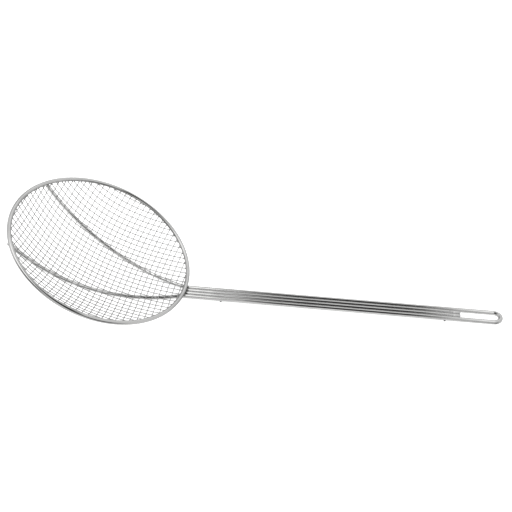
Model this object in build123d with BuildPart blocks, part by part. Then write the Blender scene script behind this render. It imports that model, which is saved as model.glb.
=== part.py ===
from build123d import *
import os
from math import asin, cos, radians, sin, sqrt

# Spider skimmer: a shallow bowl of woven wire under a round rim, carried by
# two ribs that run on as the outer wires of a flat four-wire handle.
# Millimetres and degrees.  The handle lies along +X, the bowl is at -X and
# opens upwards, and the two cross ties under the handle touch Z = 0.

os.makedirs("parts", exist_ok=True)

# Driving sizes of the heavy wire frame
rim_outer_diameter = 200.0
heavy_wire = 4.5
bowl_slope = 34.0
handle_rise = 31.0
handle_reach = 333.0
loop_reach = 42.0
wire_spacing = 4.6
end_chamfer = 0.6

# Where the two ribs pass, seen square on to the rim
rib_start_inset = 9.75
rib_start_spread = 3.9
rib_middle_share = 0.366
rib_far_turn = 30.6
rib_rise = 0.65
rib_far_inset = 1.8
rail_bend_share = 0.75

# Driving sizes of the cross ties
tie_wire = 1.8
tie_length = 14.0
front_tie_reach = 41.0
back_tie_setback = 15.5

# Driving sizes of the woven net
net_pairs = 16
net_edge_share = 0.29
net_side = 0.8
net_seat = 0.1
net_lean_share = 0.32

# Named clearances
touch_gap = 0.05
weave_gap = 0.05
net_end_gap = 0.1

# The bowl is part of a ball whose wall leaves the rim at bowl_slope
heavy_radius = heavy_wire / 2
rim_radius = rim_outer_diameter / 2 - heavy_radius
ball_radius = rim_radius / sin(radians(bowl_slope))
ball_height = ball_radius * cos(radians(bowl_slope))
net_ball = ball_radius - net_seat

# The rim's nearest point lies over the handle wires, and the length of the
# whole object is centred on X = 0
tilt = radians(handle_rise)
rail_height = tie_wire + touch_gap + heavy_radius
lap = heavy_wire + touch_gap
rib_ball = ball_radius + lap
rim_foot_height = rail_height + lap * cos(radians(bowl_slope - handle_rise))
behind_foot = 2 * rim_radius * cos(tilt) + heavy_radius
rim_foot_x = (behind_foot - handle_reach) / 2
rim_plane = Plane(
    origin=(rim_foot_x - rim_radius * cos(tilt), 0, rim_foot_height + rim_radius * sin(tilt)),
    x_dir=(cos(tilt), 0, -sin(tilt)),
    z_dir=(sin(tilt), 0, cos(tilt)),
)


def on_ball(radius, along, aside):
    # A point of the ball under the rim, from its place seen square on
    depth = ball_height - sqrt(radius**2 - along**2 - aside**2)
    return rim_plane.from_local_coords((along, aside, depth))


# Rim: one round wire closed into a ring
with BuildPart() as rim_ring:
    with BuildSketch(Plane(origin=rim_plane.origin, x_dir=rim_plane.x_dir, z_dir=-rim_plane.y_dir)):
        with Locations((rim_radius, 0)):
            Circle(heavy_radius)
    revolve(axis=Axis(rim_plane.origin, rim_plane.z_dir))
rim_ring.part.label = "rim_ring"
export_step(rim_ring.part, "parts/rim_ring.step")

# Frame wire: far rim, rib, outer handle wire, hanging loop, and back again.
# The ribs pass under the rim beside the handle, then close up to the net, and
# their far ends stop against the underside of the rim.
rail_aside = 3 * wire_spacing / 2
rib_start_along = rim_radius - rib_start_inset
rib_start_aside = rail_aside + rib_start_spread
rib_middle_aside = rim_radius * rib_middle_share
rail_bend_x = rim_foot_x + rail_bend_share * heavy_wire
loop_centre_x = rim_foot_x + handle_reach - heavy_radius - rail_aside
rib_far_ball = rib_ball - rib_rise
rib_middle_ball = rib_ball - rib_rise / 2
rib_far_radius = rib_far_ball * sin(radians(bowl_slope)) - rib_far_inset
rib_far_along = -rib_far_radius * cos(radians(rib_far_turn))
rib_far_aside = rib_far_radius * sin(radians(rib_far_turn))
with BuildPart() as frame_wire:
    with BuildLine() as frame_path:
        left_rib = ThreePointArc(
            on_ball(rib_far_ball, rib_far_along, rib_far_aside),
            on_ball(rib_middle_ball, 0, rib_middle_aside),
            on_ball(rib_ball, rib_start_along, rib_start_aside),
        )
        Spline(
            left_rib @ 1,
            (rail_bend_x, rail_aside, rail_height),
            tangents=(left_rib % 1, (1, 0, 0)),
        )
        Line((rail_bend_x, rail_aside, rail_height), (loop_centre_x, rail_aside, rail_height))
        ThreePointArc(
            (loop_centre_x, rail_aside, rail_height),
            (loop_centre_x + rail_aside, 0, rail_height),
            (loop_centre_x, -rail_aside, rail_height),
        )
        Line((loop_centre_x, -rail_aside, rail_height), (rail_bend_x, -rail_aside, rail_height))
        right_rib = ThreePointArc(
            on_ball(rib_ball, rib_start_along, -rib_start_aside),
            on_ball(rib_middle_ball, 0, -rib_middle_aside),
            on_ball(rib_far_ball, rib_far_along, -rib_far_aside),
        )
        Spline(
            (rail_bend_x, -rail_aside, rail_height),
            right_rib @ 0,
            tangents=((-1, 0, 0), right_rib % 0),
        )
    with BuildSketch(Plane(origin=left_rib @ 0, z_dir=left_rib % 0)):
        Circle(heavy_radius)
    sweep(path=frame_path.line)
frame_wire.part.label = "frame_wire"
export_step(frame_wire.part, "parts/frame_wire.step")

# Two inner handle wires, from under the rim to the start of the loop
inner_start_x = rim_foot_x - heavy_radius
inner_reach = handle_reach - loop_reach
inner_length = inner_reach + heavy_radius
for name, aside in (("inner_wire_left", wire_spacing / 2), ("inner_wire_right", -wire_spacing / 2)):
    with BuildPart() as inner_wire:
        with BuildSketch(Plane(origin=(inner_start_x, aside, rail_height), z_dir=(1, 0, 0))):
            Circle(heavy_radius)
        extrude(amount=inner_length)
        chamfer(inner_wire.edges().filter_by(GeomType.CIRCLE), length=end_chamfer)
    inner_wire.part.label = name
    export_step(inner_wire.part, f"parts/{name}.step")

# Two thin cross ties, welded across the underside of the four wires
back_tie_reach = inner_reach - back_tie_setback
for name, reach in (("front_tie", front_tie_reach), ("back_tie", back_tie_reach)):
    with BuildPart() as tie:
        with BuildSketch(Plane(origin=(rim_foot_x + reach, 0, tie_wire / 2), z_dir=(0, 1, 0))):
            Circle(tie_wire / 2)
        extrude(amount=tie_length / 2, both=True)
    tie.part.label = name
    export_step(tie.part, f"parts/{name}.step")

# Net: two families of wires, each wire in a plane square to the rim.  The
# cross wires run smoothly, and the long wires pass over and under them.
net_half = net_side / 2
edge_turn = asin((rim_radius - heavy_radius) / net_ball)
pitch_turn = edge_turn / (net_pairs - 1 / 2 + net_edge_share)
net_pitch = net_ball * pitch_turn
crossing_sag = net_ball * (1 - cos(pitch_turn))
offsets = [net_ball * sin((number + 1 / 2) * pitch_turn) for number in range(net_pairs + 1)]
stations = [-offset for offset in reversed(offsets)] + offsets


def half_span(offset):
    # Half the length, seen square on, of a wire this far from the middle
    aslant = offset / rim_radius
    to_rim = heavy_radius + net_end_gap + net_half * aslant
    inside = rim_radius - to_rim * (cos(radians(bowl_slope)) * (1 - aslant) + aslant)
    return sqrt(inside**2 - offset**2)


def spread(offset):
    # How far a square wire in a plane off the middle reaches along the
    # bowl's own normal, as a share of half its side
    lean = asin(min(abs(offset), rim_radius) / net_ball)
    return sin(lean) + cos(lean)


def lift(cross_number, long_number):
    # Height of a long wire over the cross wire that it passes
    cross_offset = stations[cross_number]
    long_offset = stations[long_number]
    apart = net_half * (spread(cross_offset) * (1 + net_lean_share) + spread(long_offset)) + weave_gap
    sag = crossing_sag * (long_number % 2)
    side = 1 if (cross_number + long_number) % 2 else -1
    return (side * apart - sag) * net_ball / sqrt(net_ball**2 - long_offset**2)


def strip(radius, bends):
    # Closed outline of a wire in its own plane, from its turns and heights
    outer = [((radius + up + net_half) * sin(turn), -(radius + up + net_half) * cos(turn)) for turn, up in bends]
    inner = [((radius + up - net_half) * sin(turn), -(radius + up - net_half) * cos(turn)) for turn, up in bends]
    return outer + inner[::-1]


for number in range(net_pairs):
    offset = offsets[number]
    radius = sqrt(net_ball**2 - offset**2)
    end = half_span(offset)
    inside = [place for place in range(len(stations)) if abs(stations[place]) < end]

    # Cross wires: straight runs between every second long wire
    with BuildPart() as cross_pair:
        for side in (1, -1):
            turns = [
                asin(stations[place] / radius)
                for place in inside
                if place % 2 == 0 and end - abs(stations[place]) > net_half
            ]
            bends = [(turn, 0) for turn in [-asin(end / radius)] + turns + [asin(end / radius)]]
            middle = rim_plane.from_local_coords((side * offset, 0, ball_height))
            with BuildSketch(Plane(origin=middle, x_dir=rim_plane.y_dir, z_dir=rim_plane.x_dir)):
                with BuildLine():
                    Polyline(*strip(radius, bends), close=True)
                make_face()
            extrude(amount=net_half, both=True)
    cross_pair.part.label = f"net_cross_{number + 1:02d}"
    export_step(cross_pair.part, f"parts/net_cross_{number + 1:02d}.step")

    # Long wires: a bend at every cross wire, in over one and out under the next
    with BuildPart() as long_pair:
        for side in (1, -1):
            own = stations.index(side * offset)
            bends = [(asin(stations[place] / radius), lift(place, own)) for place in inside]
            tail_share = (end - stations[inside[-1]]) / net_pitch
            tail_turn = asin(end / radius)
            if tail_share * net_pitch < net_half:
                bends = bends[1:-1]
                tail_share = 0
            bends = (
                [(-tail_turn, lift(inside[0], own) * (1 - 2 * tail_share))]
                + bends
                + [(tail_turn, lift(inside[-1], own) * (1 - 2 * tail_share))]
            )
            middle = rim_plane.from_local_coords((0, side * offset, ball_height))
            with BuildSketch(Plane(origin=middle, x_dir=rim_plane.x_dir, z_dir=-rim_plane.y_dir)):
                with BuildLine():
                    Polyline(*strip(radius, bends), close=True)
                make_face()
            extrude(amount=net_half, both=True)
    long_pair.part.label = f"net_long_{number + 1:02d}"
    export_step(long_pair.part, f"parts/net_long_{number + 1:02d}.step")
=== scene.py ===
# %% [markdown]
# # Dressing a spider skimmer
# A spider skimmer lifts food out of hot oil. It is made of bright plated steel wire and nothing
# else: a round rim, two ribs, a net woven from thin wire, and a flat handle of four wires.
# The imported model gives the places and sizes. This lesson swaps its plain wires for rounder and
# finer ones, gives them a drawn and plated finish, and photographs them on white.

from math import asin, atan2, cos, pi, radians, sin, sqrt

import bmesh
import bpy
from mathutils import Matrix, Vector, noise


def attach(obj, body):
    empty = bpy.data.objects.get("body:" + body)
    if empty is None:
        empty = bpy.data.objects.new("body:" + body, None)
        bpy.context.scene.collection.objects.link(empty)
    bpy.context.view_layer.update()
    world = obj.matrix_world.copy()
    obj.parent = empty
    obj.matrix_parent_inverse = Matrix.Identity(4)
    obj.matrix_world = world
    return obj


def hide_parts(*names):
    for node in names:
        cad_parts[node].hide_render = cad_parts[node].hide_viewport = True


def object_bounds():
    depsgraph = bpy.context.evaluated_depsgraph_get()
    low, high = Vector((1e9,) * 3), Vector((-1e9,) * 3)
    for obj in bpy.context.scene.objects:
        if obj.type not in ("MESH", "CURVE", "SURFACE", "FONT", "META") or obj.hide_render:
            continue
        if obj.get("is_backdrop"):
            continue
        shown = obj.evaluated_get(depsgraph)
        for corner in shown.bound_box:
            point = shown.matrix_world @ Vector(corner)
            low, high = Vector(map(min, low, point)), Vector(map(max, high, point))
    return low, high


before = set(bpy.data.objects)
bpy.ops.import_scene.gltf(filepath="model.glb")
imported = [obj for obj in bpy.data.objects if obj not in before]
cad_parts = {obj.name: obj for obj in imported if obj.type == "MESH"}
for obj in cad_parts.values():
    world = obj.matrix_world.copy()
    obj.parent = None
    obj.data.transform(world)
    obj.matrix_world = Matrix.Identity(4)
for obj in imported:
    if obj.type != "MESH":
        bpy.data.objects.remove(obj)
cad_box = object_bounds()
print("packed nodes:", len(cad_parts))

# %% [markdown]
# ## The camera
# The photograph looks down on the skimmer from the side of the handle. Its place was worked out
# from the oval that the round rim makes and from the way the handle wires draw together.
# A camera can be turned with angles, but three directions are easier to check: what is right,
# what is up, and what is behind it. They are the columns of its matrix.

# %% Place the camera
camera_place = Vector((0.12326, -0.57601, 0.53912))
camera_right = Vector((0.98383, 0.17303, -0.04630))
camera_up = Vector((-0.07376, 0.62692, 0.77558))
camera_back = Vector((0.16322, -0.75962, 0.62955))
lens = bpy.data.cameras.new("camera")
lens.lens = 52.19
lens.sensor_width = 36.0
lens.clip_start = 0.01
camera = bpy.data.objects.new("camera", lens)
bpy.context.scene.collection.objects.link(camera)
turn = Matrix((camera_right, camera_up, camera_back)).transposed()
camera.matrix_world = Matrix.Translation(camera_place) @ turn.to_4x4()
bpy.context.scene.camera = camera
print("camera looks along", tuple(round(-value, 3) for value in camera_back))

# %% [markdown]
# ## Sizes
# These are the model's own sizes, in metres. The bowl is a piece of a ball, so a place on the
# net needs only two numbers, seen square on to the rim: how far along, towards the handle, and
# how far aside. The ball then gives the depth.

# %% Name the sizes
mm = 0.001
heavy_radius = 2.25 * mm
rim_radius = 97.75 * mm
bowl_slope = radians(34)
tilt = radians(31)
handle_reach = 333 * mm
wire_spacing = 4.6 * mm
rail_height = 4.1 * mm
rail_aside = 1.5 * wire_spacing
lap = 4.55 * mm
ball_radius = rim_radius / sin(bowl_slope)
ball_height = ball_radius * cos(bowl_slope)
rim_foot = Vector(((2 * rim_radius * cos(tilt) + heavy_radius - handle_reach) / 2, 0, 0))
rim_foot.z = rail_height + lap * cos(bowl_slope - tilt)
rim_along = Vector((cos(tilt), 0, -sin(tilt)))
rim_aside = Vector((0, 1, 0))
rim_out = Vector((sin(tilt), 0, cos(tilt)))
rim_centre = rim_foot - rim_along * rim_radius
ball_centre = rim_centre + rim_out * ball_height
print("rim centre in mm:", tuple(round(value / mm, 2) for value in rim_centre))


# %% Find a place on the rim or on the ball
def on_rim(angle):
    return rim_centre + rim_along * (rim_radius * cos(angle)) + rim_aside * (rim_radius * sin(angle))


def on_ball(radius, along, aside):
    depth = ball_height - sqrt(radius**2 - along**2 - aside**2)
    return rim_centre + rim_along * along + rim_aside * aside + rim_out * depth


print("depth of the bowl in mm:", round((ball_radius - ball_height) / mm, 1))

# %% [markdown]
# ## One way to make every wire
# Each wire is a round section carried along a line. A curve object with a bevel does that too,
# but a mesh lets the section swell at a weld and keeps a map of how far along and how far round
# each face lies, which the drawn finish needs. The section is handed on from point to point and
# only turned as much as the line turns, so it never twists.


# %% Follow a line from point to point
def steps_between(points):
    # From each point to the next, and last from the end back to the start
    return [after - point for point, after in zip(points, points[1:] + points[:1])]


def headings(steps, closed):
    # At each point, halfway between the step before it and the step after it
    heads = []
    for place, step in enumerate(steps):
        heads.append((step.normalized() + steps[place - 1].normalized()).normalized())
    if not closed:
        heads[0] = steps[0].normalized()
        heads[-1] = steps[-2].normalized()
    return heads


# %% Carry a round section along a line
def face_map(mesh):
    return mesh.loops.layers.uv.get("UVMap") or mesh.loops.layers.uv.new("UVMap")


def add_ring(mesh, centre, head, guide, radius, sides):
    other = head.cross(guide)
    ring = []
    for side in range(sides):
        angle = 2 * pi * side / sides
        out = guide * cos(angle) + other * sin(angle)
        ring.append(mesh.verts.new(centre + out * radius))
    return ring


def add_wire(mesh, points, radii, sides, closed=False):
    uv = face_map(mesh)
    count = len(points)
    steps = steps_between(points)
    heads = headings(steps, closed)
    guide = heads[0].orthogonal().normalized()
    rings = []
    travelled = [0.0]
    for place in range(count):
        if place:
            guide = heads[place - 1].rotation_difference(heads[place]) @ guide
        guide = (guide - heads[place] * guide.dot(heads[place])).normalized()
        rings.append(add_ring(mesh, points[place], heads[place], guide, radii[place], sides))
        travelled.append(travelled[-1] + steps[place].length)
    for place in range(count if closed else count - 1):
        near = rings[place]
        far = rings[(place + 1) % count]
        for side in range(sides):
            after = (side + 1) % sides
            face = mesh.faces.new((near[side], near[after], far[after], far[side]))
            face.smooth = True
            spots = ((place, side), (place, side + 1), (place + 1, side + 1), (place + 1, side))
            for loop, (along, around) in zip(face.loops, spots):
                loop[uv].uv = (travelled[along] / mm, around / sides)
    if not closed:
        for ring in (rings[0][::-1], rings[-1]):
            for loop in mesh.faces.new(ring).loops:
                loop[uv].uv = (0, 0.5)


# %% Turn a mesh into a piece of the skimmer
def finish_piece(name, mesh, finish, slot, *nodes):
    bmesh.ops.recalc_face_normals(mesh, faces=mesh.faces)
    data = bpy.data.meshes.new(name)
    mesh.to_mesh(data)
    mesh.free()
    data.materials.append(finish)
    piece = bpy.data.objects.new(name, data)
    bpy.context.scene.collection.objects.link(piece)
    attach(piece, "root")
    if nodes:
        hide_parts(*nodes)
    return piece


# %% [markdown]
# ## Shader sums that read like sums
# A finish is worked out from a few patterns. Wiring Math nodes by hand hides the sum, so a
# small class holds a socket and turns each plus, minus, times and divide into its Math node.
# A board makes every other node, with its settings first and its sockets after. Three nodes are
# used so often that they have short names of their own: a mix, a clamp and a noise.


# %% A socket that can be added and multiplied
class Signal:
    def __init__(self, board, socket):
        self.board = board
        self.socket = socket

    def beside(self, name):
        # Another output of the same node
        return Signal(self.board, self.socket.node.outputs[name])

    def maths(self, operation, first, second):
        return self.board.node("ShaderNodeMath", {"operation": operation}, {0: first, 1: second})

    def __add__(self, other):
        return self.maths("ADD", self, other)

    def __radd__(self, other):
        return self.maths("ADD", other, self)

    def __sub__(self, other):
        return self.maths("SUBTRACT", self, other)

    def __rsub__(self, other):
        return self.maths("SUBTRACT", other, self)

    def __mul__(self, other):
        return self.maths("MULTIPLY", self, other)

    def __rmul__(self, other):
        return self.maths("MULTIPLY", other, self)

    def __truediv__(self, other):
        return self.maths("DIVIDE", self, other)

    def __rtruediv__(self, other):
        return self.maths("DIVIDE", other, self)


# %% A board that nodes are made on
class Board:
    def __init__(self, tree):
        self.tree = tree
        tree.nodes.clear()

    def node(self, kind, settings=None, inputs=None, output=0):
        made = self.tree.nodes.new(kind)
        for name, value in (settings or {}).items():
            setattr(made, name, value)
        for name, value in (inputs or {}).items():
            if isinstance(value, Signal):
                self.tree.links.new(value.socket, made.inputs[name])
            else:
                made.inputs[name].default_value = value
        if len(made.outputs) == 0:
            return None
        return Signal(self, made.outputs[output])

    def between(self, mask, low, high):
        settings = {"data_type": "RGBA", "clamp_factor": True}
        return self.node("ShaderNodeMix", settings, {0: mask, 6: low, 7: high}, 2)

    def clamp(self, value):
        return self.node("ShaderNodeClamp", None, {"Value": value})

    def noise(self, place, scale, detail, roughness=0.5):
        inputs = {"Vector": place, "Scale": scale, "Detail": detail, "Roughness": roughness}
        return self.node("ShaderNodeTexNoise", None, inputs)


def new_finish(name):
    finish = bpy.data.materials.new(name)
    finish.use_nodes = True
    return finish, Board(finish.node_tree)


# %% [markdown]
# ## Plated wire
# Steel wire is pulled through a die, which leaves very fine lines along it, and is then plated
# bright. The plating is a little cloudy here and there, with small dull pits.
# The lines come from a noise that is stretched along the wire by the map made above, and they
# go into the bump and the roughness. The cloudiness is a broad noise in the colour.
# The ribs lie behind the net and are seen through it twice, which shades them, so there the colour is
# painted lighter: painted light that stands in for the light the net takes away.

# %% Make the finishes of the wires
heavy_plating = (0.56, 0.56, 0.555, 1.0)
# A lighter copy of the plating, painted on the ribs as painted light to make up for the net's shade
rib_painted_light_tone = (0.92, 0.92, 0.915, 1.0)
net_plating = (0.5, 0.5, 0.495, 1.0)
lines_per_mm = 0.06
ribs_begin = rim_foot.x - 4 * mm


def darker(colour, share):
    return tuple(value * share for value in colour[:3]) + (1.0,)


def plated_wire(name, colour, dull, line_depth, lines_round, rib_painted_light_share=0.0):
    finish, board = new_finish(name)
    along = board.node("ShaderNodeUVMap", {"uv_map": "UVMap"})
    along = board.node("ShaderNodeSeparateXYZ", None, {"Vector": along})
    around = along.beside("Y")
    inputs = {"X": along * lines_per_mm, "Y": around * lines_round, "Z": 0.0}
    stretched = board.node("ShaderNodeCombineXYZ", None, inputs)
    lines = board.noise(stretched, 1.0, 3.0)
    place = board.node("ShaderNodeTexCoord", None, None, "Object")
    cloud = board.noise(place, 60.0, 2.0)
    speck = board.noise(place, 900.0, 2.0, 0.6)
    worn = board.clamp((cloud - 0.42) * 3.2)
    pitted = board.clamp((speck - 0.60) * 6.0)
    tone = board.between(worn, colour, darker(colour, 0.88))
    tone = board.between(pitted * 0.5, tone, darker(colour, 0.6))
    towards_loop = board.node("ShaderNodeSeparateXYZ", None, {"Vector": place})
    on_rib_painted_light = board.clamp((ribs_begin - towards_loop) * 150.0)
    # Painted light: towards the bowl the frame wire's colour is lifted to the lighter tone, standing in
    # for the light the net takes from the ribs
    tone = board.between(on_rib_painted_light * rib_painted_light_share, tone, rib_painted_light_tone)
    rough = board.clamp(dull + (lines - 0.5) * 0.16 + worn * 0.06 + pitted * 0.15)
    inputs = {"Strength": line_depth, "Distance": 0.1 * mm, "Height": lines + speck * 0.3}
    relief = board.node("ShaderNodeBump", None, inputs)
    inputs = {"Base Color": tone, "Roughness": rough, "Metallic": 1.0, "Normal": relief}
    shader = board.node("ShaderNodeBsdfPrincipled", None, inputs)
    board.node("ShaderNodeOutputMaterial", None, {"Surface": shader})
    return finish


heavy_finish = plated_wire(
    "plated_heavy_wire", heavy_plating, dull=0.08, line_depth=0.12, lines_round=34.0
)
frame_finish = plated_wire(
    # The frame finish carries the painted light on the ribs
    "plated_frame_wire_rib_painted_light", heavy_plating, dull=0.08, line_depth=0.12, lines_round=34.0, rib_painted_light_share=0.52
)
net_finish = plated_wire("plated_net_wire", net_plating, dull=0.45, line_depth=0.15, lines_round=12.0)
print("finishes:", [finish.name for finish in (heavy_finish, frame_finish, net_finish)])

# %% [markdown]
# ## Weld metal
# Where two wires are pressed together and welded, a little metal squeezes out, burns dark and
# takes the plating badly. It is rough, with only patches of metal showing through the scale.
# The scale is made near black so that it is also painted shade: the lumps sit in the notches
# between the wires, where contact shade falls.

# %% Make the weld metal's finish
# Near black: partly burnt scale, partly painted shade in the notches where the wires meet
burnt_scale_and_painted_shade = (0.05, 0.048, 0.045, 1.0)
bare_metal = (0.34, 0.335, 0.33, 1.0)
weld_finish, board = new_finish("weld_metal_and_painted_shade")
place = board.node("ShaderNodeTexCoord", None, None, "Object")
grain = board.noise(place, 700.0, 4.0)
bare = board.clamp((grain - 0.5) * 5.0)
tone = board.between(bare, burnt_scale_and_painted_shade, bare_metal)
relief = board.node("ShaderNodeBump", None, {"Strength": 0.6, "Distance": 0.2 * mm, "Height": grain})
inputs = {"Base Color": tone, "Roughness": 0.62 - bare * 0.2, "Metallic": bare, "Normal": relief}
shader = board.node("ShaderNodeBsdfPrincipled", None, inputs)
board.node("ShaderNodeOutputMaterial", None, {"Surface": shader})
print("finish:", weld_finish.name)

# %% [markdown]
# ## The rim
# One heavy wire is bent round and its ends are butted and welded, then smoothed off. It is a
# plain ring of wire, so its line is a circle in the rim's own plane, cut finely enough for a
# smooth edge in a mirror finish.

# %% Make the rim
heavy_sides = 28
rim_steps = 300
rim_points = [on_rim(2 * pi * step / rim_steps) for step in range(rim_steps)]
mesh = bmesh.new()
add_wire(mesh, rim_points, [heavy_radius] * rim_steps, heavy_sides, closed=True)
rim = finish_piece("rim", mesh, heavy_finish, "heavy_wire", "rim_ring")
print("rim faces:", len(rim.data.polygons))

# %% [markdown]
# ## The frame wire
# The outer wires of the handle, the two ribs under the net and the loop at the end are one
# wire, bent on a former. Its line is made of true arcs and straight runs, as a bending machine
# makes it, with one free bend where each rib dives under the rim. It was bent by hand, so in
# the photograph the nearer rib ends a little further round the rim than the other.


# %% Bend a line on a circle, or freely between two headings
def arc_through(first, middle, last, count):
    # The circle through three points, walked from the first to the last
    one = middle - first
    two = last - first
    normal = one.cross(two)
    across = two.cross(normal) * one.length_squared - one.cross(normal) * two.length_squared
    centre = first + across * (0.5 / normal.length_squared)
    start = first - centre
    side = normal.normalized().cross(start)
    sweep = atan2((last - centre).dot(side), (last - centre).dot(start)) % (2 * pi)
    return [
        centre + start * cos(sweep * step / count) + side * sin(sweep * step / count)
        for step in range(count + 1)
    ]


def free_bend(start, start_head, end, end_head, count):
    # A cubic that leaves and arrives along the two headings, without its two ends
    reach = (end - start).length
    places = []
    for step in range(1, count):
        t = step / count
        places.append(
            start * (2 * t**3 - 3 * t**2 + 1)
            + start_head * (reach * (t**3 - 2 * t**2 + t))
            + end * (3 * t**2 - 2 * t**3)
            + end_head * (reach * (t**3 - t**2))
        )
    return places


# %% Make the line of the frame wire
rib_ball = ball_radius + lap
rib_rise = 0.65 * mm
rib_far_ball = rib_ball - rib_rise
rib_far_inset = 1.8 * mm
rib_far_radius = rib_far_ball * sin(bowl_slope) - rib_far_inset
rib_far_turns = {1: 30.6, -1: 32.2}
rib_middle_share = 0.366
rib_start_inset = 9.75 * mm
rib_start_spread = 3.9 * mm
rail_bend_reach = 1.5 * heavy_radius
rail_start = Vector((rim_foot.x + rail_bend_reach, rail_aside, rail_height))
loop_centre = Vector((rim_foot.x + handle_reach - heavy_radius - rail_aside, 0, rail_height))
rib_steps = 90
dive_steps = 16
rail_steps = 40
loop_steps = 28


def half_frame(side):
    # From the far end of a rib to the hanging loop, on the left (1) or the right (-1)
    turn = radians(rib_far_turns[side])
    far_end = on_ball(rib_far_ball, -rib_far_radius * cos(turn), rib_far_radius * sin(turn))
    middle = on_ball(rib_ball - rib_rise / 2, 0, rim_radius * rib_middle_share)
    start = on_ball(rib_ball, rim_radius - rib_start_inset, rail_aside + rib_start_spread)
    line = arc_through(far_end, middle, start, rib_steps)
    dive = (line[-1] - line[-2]).normalized()
    line += free_bend(line[-1], dive, rail_start, Vector((1, 0, 0)), dive_steps)
    run = loop_centre.x - rail_start.x
    line += [rail_start + Vector((run * step / rail_steps, 0, 0)) for step in range(rail_steps + 1)]
    return [Vector((point.x, point.y * side, point.z)) for point in line]


loop_bend = []
for step in range(1, loop_steps):
    angle = pi / 2 - pi * step / loop_steps
    loop_bend.append(loop_centre + Vector((rail_aside * cos(angle), rail_aside * sin(angle), 0)))
frame_points = half_frame(1) + loop_bend + half_frame(-1)[::-1]
print("frame wire points:", len(frame_points))

# %% Make the frame wire
mesh = bmesh.new()
add_wire(mesh, frame_points, [heavy_radius] * len(frame_points), heavy_sides)
frame_wire = finish_piece("frame_wire_dressed", mesh, frame_finish, "heavy_wire", "frame_wire")
print("frame wire faces:", len(frame_wire.data.polygons))

# %% [markdown]
# ## The inner handle wires and the ties
# Two straight wires fill the middle of the handle. Their ends are cropped and tumbled, which
# leaves a small bevel. Two thin ties are welded across underneath.


# %% Make a straight wire with bevelled ends
def add_rod(mesh, start, end, radius, bevel, sides, rings_between):
    head = (end - start).normalized()
    points = [start, start + head * bevel]
    points += [start.lerp(end, (step + 1) / (rings_between + 1)) for step in range(rings_between)]
    points += [end - head * bevel, end]
    radii = [radius - bevel] + [radius] * (rings_between + 2) + [radius - bevel]
    add_wire(mesh, points, radii, sides)


# %% Make the inner wires
inner_reach = 291 * mm
inner_bevel = 0.6 * mm
for name, aside in (("inner_wire_left", wire_spacing / 2), ("inner_wire_right", -wire_spacing / 2)):
    start = Vector((rim_foot.x - heavy_radius, aside, rail_height))
    end = Vector((rim_foot.x + inner_reach, aside, rail_height))
    mesh = bmesh.new()
    add_rod(mesh, start, end, heavy_radius, inner_bevel, heavy_sides, rail_steps)
    finish_piece(name + "_dressed", mesh, heavy_finish, "heavy_wire", name)
print("inner wires' length in mm:", round((end - start).length / mm, 2))

# %% Make the ties
tie_radius = 0.9 * mm
tie_length = 14 * mm
tie_bevel = 0.25 * mm
tie_places = {"front_tie": rim_foot.x + 41 * mm, "back_tie": rim_foot.x + 275.5 * mm}
for name, x in tie_places.items():
    low = Vector((x, -tie_length / 2, tie_radius))
    high = Vector((x, tie_length / 2, tie_radius))
    mesh = bmesh.new()
    add_rod(mesh, low, high, tie_radius, tie_bevel, sides=16, rings_between=12)
    finish_piece(name + "_dressed", mesh, heavy_finish, "heavy_wire", name)
print("ties:", len(tie_places))

# %% [markdown]
# ## The net
# The net is plain woven wire cloth, pressed into a bowl: each wire goes over one and under the
# next. Both families bend, and the press has set them a little into each other at a crossing.
# A flat grid with a bump would look dead, because each small knuckle catches its own light. So
# every wire is real: its line follows the ball and rises and sinks like a wave, one family
# against the other. Cloth is never quite regular, so each wire also wanders a little aside.

# %% Name the net's sizes
net_radius = 0.45 * mm
bend_height = 0.2 * net_radius
net_seat = 0.1 * mm
net_ball = ball_radius + net_seat
net_pairs = 16
net_edge_share = 0.29
edge_turn = asin((rim_radius - heavy_radius) / (ball_radius - net_seat))
pitch_turn = edge_turn / (net_pairs - 0.5 + net_edge_share)
net_reach = rim_radius - 0.86 * heavy_radius
steps_per_pitch = 8
print("net pitch in mm:", round(net_ball * pitch_turn / mm, 2))

# %% [markdown]
# ## How the cloth has crept
# The photograph shows one thing more: the wires are not quite straight from above. They lean
# and swing round towards the rim, as cloth does when it is pressed and its edge is rolled on to
# a ring. Both families share one pair of sums for that, worked out from the places of the wires
# in the photograph, so they still meet where they cross.

# %% Let the cloth creep
creep_unit = 95 * mm
held_from = 99 * mm
held_over = 20 * mm


def freedom(distance):
    # Full in the middle of the bowl, and falling to nothing towards the rim
    return max(0.0, min(1.0, (held_from - abs(distance)) / held_over))


def crept(along, aside):
    # Where a place of the even net lies after creeping. In each direction the first sum moves and
    # bends a wire, and the second is how that differs from wire to wire, both in millimetres
    x = along / creep_unit
    y = aside / creep_unit
    more_along = -1.65 - 3.58 * y - 1.86 * y**2 + 5.21 * y**3
    more_along += 1.38 * x * y + 0.6 * x**2 + 0.35 * x * y**2
    more_aside = -0.9 + 2.08 * x**2 - 7.31 * x**3
    more_aside += 2.6 * y - 2.08 * y**2 - 0.73 * y**3 + 0.97 * x * y
    return along + more_along * freedom(along) * mm, aside + more_aside * freedom(aside) * mm


def wire_place(across, offset, is_long):
    return crept(across, offset) if is_long else crept(offset, across)


def wire_end(offset, is_long, way):
    # Halve the stretch between the wire's middle and far outside until the rim is met
    near = 0.0
    far = way * 1.1 * rim_radius
    for halving in range(30):
        half_way = (near + far) / 2
        along, aside = wire_place(half_way, offset, is_long)
        if along**2 + aside**2 < net_reach**2:
            near = half_way
        else:
            far = half_way
    return near


furthest = max(abs(crept(0, rim_radius * tenth / 10)[0]) for tenth in range(-10, 11))
print("most that a wire across the middle creeps in mm:", round(furthest / mm, 1))

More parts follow.
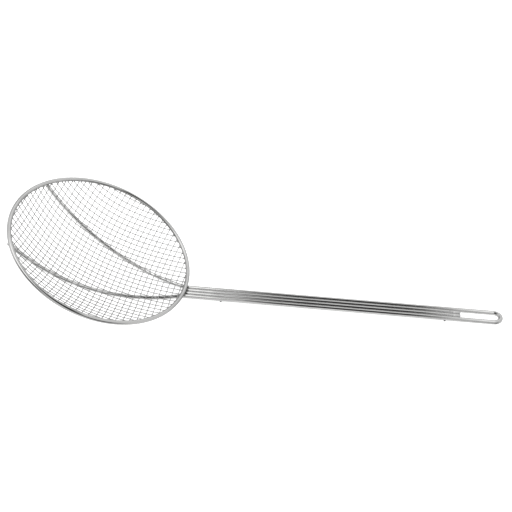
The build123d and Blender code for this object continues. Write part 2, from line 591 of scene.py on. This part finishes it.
# %% Follow one wire of the net
slow_wander = 0.2 * mm
quick_wander = 0.07 * mm
wave_fade = 0.35
swell_reach = 0.22
end_swell = 0.55


def wander_at(place, seed):
    slow = noise.noise(Vector((place * 0.22, seed, 0.0)))
    quick = noise.noise(Vector((place * 0.9, seed, 5.0)))
    return slow_wander * slow + quick_wander * quick


def net_wire(number, side, is_long):
    # Points of one wire, from one place in the rim to the other, and its radius at each
    offset = side * net_ball * sin((number + 0.5) * pitch_turn)
    own = number if side > 0 else -1 - number
    first = wire_end(offset, is_long, -1)
    last = wire_end(offset, is_long, 1)
    pitches = (asin(last / net_ball) - asin(first / net_ball)) / pitch_turn
    count = max(4, round(pitches * steps_per_pitch))
    seed = number * 3.7 + (0.0 if side > 0 else 40.0) + (0.0 if is_long else 90.0)
    wave = 1 if is_long else -1
    points = []
    radii = []
    for step in range(count + 1):
        across = first + (last - first) * step / count
        place = asin(across / net_ball) / pitch_turn
        from_end = min(step, count - step) / steps_per_pitch
        wander = wander_at(place, seed) * min(1.0, from_end)
        point = on_ball(net_ball, *wire_place(across, offset + wander, is_long))
        fade = min(1.0, from_end / wave_fade)
        up = wave * fade * bend_height * cos(pi * (place + 0.5 + own))
        out = (point - ball_centre).normalized()
        points.append(point + out * up)
        radii.append(net_radius * (1 + end_swell * max(0.0, 1 - from_end / swell_reach)))
    return points, radii


# %% Weave the net
net_sides = 8
net_faces = 0
for number in range(net_pairs):
    for family, is_long in (("cross", False), ("long", True)):
        mesh = bmesh.new()
        for side in (1, -1):
            points, radii = net_wire(number, side, is_long)
            add_wire(mesh, points, radii, net_sides)
        node = f"net_{family}_{number + 1:02d}"
        piece = finish_piece(f"{family}_wires_{number + 1:02d}", mesh, net_finish, "net_wire", node)
        net_faces += len(piece.data.polygons)
print("net faces:", net_faces)

# %% [markdown]
# ## The weld spots
# Wires that cross are pressed together and welded without any filler. The metal squeezed out
# of each joint is a small lump, never round, that fills the notch between the two wires. At the
# ends of a tie it wraps round the cut end.


# %% Make a lump of weld metal
def add_lump(mesh, centre, sizes, turn_about_z, seed):
    ball = bmesh.ops.create_icosphere(mesh, subdivisions=3, radius=1.0)
    spin = Matrix.Rotation(turn_about_z, 3, "Z")
    for vert in ball["verts"]:
        bumpy = 1 + 0.18 * noise.noise(vert.co * 1.7 + Vector((seed, 0, 0)))
        local = Vector((vert.co.x * sizes[0], vert.co.y * sizes[1], vert.co.z * sizes[2])) * bumpy
        vert.co = centre + spin @ local


# %% Find the weld spots
rim_lump = (1.55 * mm, 1.25 * mm, 0.75 * mm)
tie_lump = (0.8 * mm, 1.0 * mm, 0.4 * mm)
tie_end_lump = (1.1 * mm, 0.85 * mm, 0.8 * mm)
rib_end_lump = (1.5 * mm, 1.3 * mm, 1.0 * mm)
tie_end_height = 1.05 * mm
tie_end_share = 1.04
wire_asides = [rail_aside, wire_spacing / 2, -wire_spacing / 2, -rail_aside]
welds = []
for seed, aside in enumerate(wire_asides):
    drop = rim_radius - sqrt(rim_radius**2 - aside**2)
    height = (rim_foot.z + rail_height) / 2 + drop * sin(tilt)
    welds.append((Vector((rim_foot.x - drop * cos(tilt), aside, height)), rim_lump, 0.1, seed * 2.3))
for x in tie_places.values():
    for seed, aside in enumerate(wire_asides):
        touch = Vector((x, aside, 2 * tie_radius))
        lump = tie_lump
        if abs(aside) == rail_aside:
            touch = Vector((x, aside * tie_end_share, tie_end_height))
            lump = tie_end_lump
        welds.append((touch, lump, 0.0, seed * 1.9 + x * 100))
for side, below in ((1, frame_points[0]), (-1, frame_points[-1])):
    angle = radians(180 - rib_far_turns[side]) * side
    welds.append((on_rim(angle).lerp(below, 0.5), rib_end_lump, angle, 7.0 + side))
print("weld spots:", len(welds))

# %% Make the weld spots
# The lumps carry the near-black weld finish, which is partly painted shade in the notches between the
# wires
mesh = bmesh.new()
for centre, sizes, turned, seed in welds:
    add_lump(mesh, centre, sizes, turned, seed)
for face in mesh.faces:
    face.smooth = True
face_map(mesh)
weld_spots = finish_piece("weld_spots", mesh, weld_finish, "heavy_wire")
print("weld faces:", len(weld_spots.data.polygons))

# %% [markdown]
# ## The studio
# Bright wire shows what stands round it more than its own colour, so the room matters as much
# as the metal. The photograph was taken on white, with a soft lamp high on the left. The dark
# bands in the rim and along the handle are a dark arm over the skimmer and the unlit parts of the
# room. Soft round panels are enough for the room: each has a direction, in degrees round from
# the photographer's side towards the hanging loop and in degrees up, the angle inside which it
# is full, the angle at which it has faded out, and how much lighter or darker it is.
# Only mirrored light sees the panels. The camera sees plain white, and dull surfaces plain light.

# %% Name the panels of the room
panels = {
    "lamp overhead": (-68, 80, 7, 31, 1.15),
    "lamp high at the back": (153, 51, 5, 28, 0.25),
    "light table in front": (-3, -28, 1, 16, 0.65),
    "dark left of the camera": (-43, 26, 5, 32, -0.9),
    "dark right of the camera": (33, -4, 8, 35, -0.85),
    "dark at the back left": (-150, 23, 5, 26, -0.42),
    "dark low at the back right": (166, -25, 12, 58, -0.3),
}
bare_room = 0.93
darkest_room = 0.02
dull_light = 0.9
print("panels:", len(panels))

# %% Light the white room
world = bpy.data.worlds.new("white_room")
bpy.context.scene.world = world
world.use_nodes = True
board = Board(world.node_tree)
direction = board.node("ShaderNodeTexCoord", None, None, "Generated")
room = bare_room
for turned, raised, full, faded, change in panels.values():
    level = cos(radians(raised))
    toward = (sin(radians(turned)) * level, -cos(radians(turned)) * level, sin(radians(raised)))
    inputs = {0: direction, 1: toward}
    facing = board.node("ShaderNodeVectorMath", {"operation": "DOT_PRODUCT"}, inputs, "Value")
    edge = cos(radians(faded))
    room = room + board.clamp((facing - edge) / (cos(radians(full)) - edge)) * change
room = board.node("ShaderNodeMath", {"operation": "MAXIMUM"}, {0: room, 1: darkest_room})
seen = board.node("ShaderNodeLightPath", None, None, "Is Camera Ray")
mirrored = seen.beside("Is Glossy Ray")
strength = seen + (1 - seen) * (mirrored * room + (1 - mirrored) * dull_light)
light = board.node("ShaderNodeBackground", None, {"Color": (1.0, 1.0, 1.0, 1.0), "Strength": strength})
board.node("ShaderNodeOutputWorld", None, {"Surface": light})
print("room nodes:", len(world.node_tree.nodes))

# %% [markdown]
# ## Floor and dark arm
# The floor is white and keeps a shadow. It glows a little for the camera alone, to match the
# white room, and its reflection is left to the room's lower half.
# The arm is a strip bent round the handle, wide overhead and narrow in front, with soft edges.

# %% Lay the white floor
floor_glow = 0.75
floor_finish, board = new_finish("white_floor")
paper = board.node("ShaderNodeBsdfDiffuse", None, {"Color": (0.92, 0.92, 0.92, 1.0)})
seen = board.node("ShaderNodeLightPath", None, None, "Is Camera Ray")
inputs = {"Color": (1.0, 1.0, 1.0, 1.0), "Strength": seen * floor_glow}
glow = board.node("ShaderNodeEmission", None, inputs)
both = board.node("ShaderNodeAddShader", None, {0: paper, 1: glow})
board.node("ShaderNodeOutputMaterial", None, {"Surface": both})
bpy.ops.mesh.primitive_grid_add(x_subdivisions=4, y_subdivisions=4, size=12.0, location=(0.0, 0.0, 0.0))
floor = bpy.context.object
floor.name = "floor"
floor.data.materials.append(floor_finish)
floor.visible_glossy = False
floor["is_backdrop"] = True
print("staged:", floor.name)

# %% Make the dark arm's finish
edge_sharpness = 10.0
end_sharpness = 6.0
arm_finish, board = new_finish("dark_arm")
place = board.node("ShaderNodeUVMap", {"uv_map": "UVMap"})
across = board.node("ShaderNodeSeparateXYZ", None, {"Vector": place})
raised = across.beside("Y")
left_edge = board.clamp((across + 0.03 + raised * 0.155) * edge_sharpness + 0.5)
right_edge = board.clamp((0.215 + raised * 0.055 - across) * edge_sharpness + 0.5)
low_end = board.clamp((raised - 0.22) * end_sharpness + 0.5)
high_end = board.clamp((1.17 - raised) * end_sharpness + 0.5)
cover = left_edge * right_edge * low_end * high_end
dark = board.node("ShaderNodeEmission", None, {"Color": (0.05, 0.05, 0.05, 1.0), "Strength": 1.0})
clear = board.node("ShaderNodeBsdfTransparent")
mixed = board.node("ShaderNodeMixShader", None, {0: cover, 1: clear, 2: dark})
board.node("ShaderNodeOutputMaterial", None, {"Surface": mixed})
print("finish:", arm_finish.name)

# %% Hang the dark arm
arm_left = -0.25
arm_right = 0.34
arm_radius = 0.684
arm_begins = 10
arm_sweep = 110
arm_steps = 32
mesh = bmesh.new()
uv = face_map(mesh)
rows = []
for step in range(arm_steps + 1):
    angle = radians(arm_begins + arm_sweep * step / arm_steps)
    y = -arm_radius * cos(angle)
    z = arm_radius * sin(angle)
    rows.append((mesh.verts.new((arm_left, y, z)), mesh.verts.new((arm_right, y, z)), angle / (pi / 2)))
for near, far in zip(rows, rows[1:]):
    face = mesh.faces.new((near[0], near[1], far[1], far[0]))
    corners = ((arm_left, near[2]), (arm_right, near[2]), (arm_right, far[2]), (arm_left, far[2]))
    for loop, corner in zip(face.loops, corners):
        loop[uv].uv = corner
data = bpy.data.meshes.new("dark_arm")
mesh.to_mesh(data)
mesh.free()
data.materials.append(arm_finish)
arm = bpy.data.objects.new("dark_arm", data)
bpy.context.scene.collection.objects.link(arm)
arm.visible_camera = False
arm.visible_diffuse = False
arm.visible_shadow = False
arm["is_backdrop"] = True
print("staged:", arm.name)

# %% [markdown]
# ## Finish
# The colours are shown as they are, and the box of the dressed model is written beside the box
# of the imported one, to see that nothing grew.

# %% Print the boxes and finish
bpy.context.scene.view_settings.view_transform = "Standard"
dressed_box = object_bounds()
sizes = {
    "cad": [list(corner) for corner in cad_box],
    "visual": [list(corner) for corner in dressed_box],
}
print("size:", sizes)
